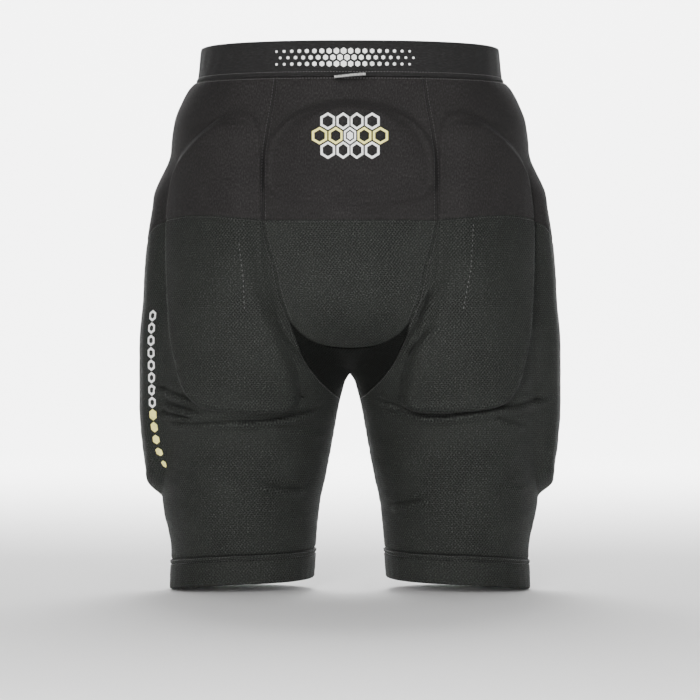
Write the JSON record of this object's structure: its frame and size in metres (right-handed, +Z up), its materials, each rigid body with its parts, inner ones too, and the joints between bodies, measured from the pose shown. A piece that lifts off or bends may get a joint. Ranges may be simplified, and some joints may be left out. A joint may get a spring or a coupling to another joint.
{
  "type": "padded protective shorts with hip pads",
  "caption": "Black padded protective shorts in worn form: stretch panels over foam pads at tailbone, hips and thighs, with an elastic waistband and turned hems.",
  "frame": {"origin": "centre of the waist opening, level with the waistband's top edge, where the body holds the shorts up", "axes": "+Z up out of the waist opening, +X the wearer's right, +Y the front, -Y the back"},
  "size_m": [0.387, 0.2422, 0.4947],
  "materials": {
    "waistband_elastic": "soft ribbed elastic, matt",
    "smooth_stretch": "smooth brushed stretch fabric, matt",
    "mesh_knit": "fine diamond mesh knit, slight sheen",
    "tag_tape": "woven tape, worn pale on its fold",
    "foam": "closed-cell foam, matt",
    "print": "thin matt transfer print"
  },
  "bodies": {
    "root": {"waistband": "waistband_elastic", "label_loop": "tag_tape", "yoke_centre": "smooth_stretch", "yoke_left": "smooth_stretch", "yoke_right": "smooth_stretch", "seat_panel": "mesh_knit", "gusset": "mesh_knit", "leg_left": "mesh_knit", "leg_right": "mesh_knit", "hem_left": "mesh_knit", "hem_right": "mesh_knit", "tailbone_pad": "foam", "hip_pad_left": "foam", "hip_pad_right": "foam", "side_pad_left": "foam", "side_pad_right": "foam"}
  },
  "joints": []
}
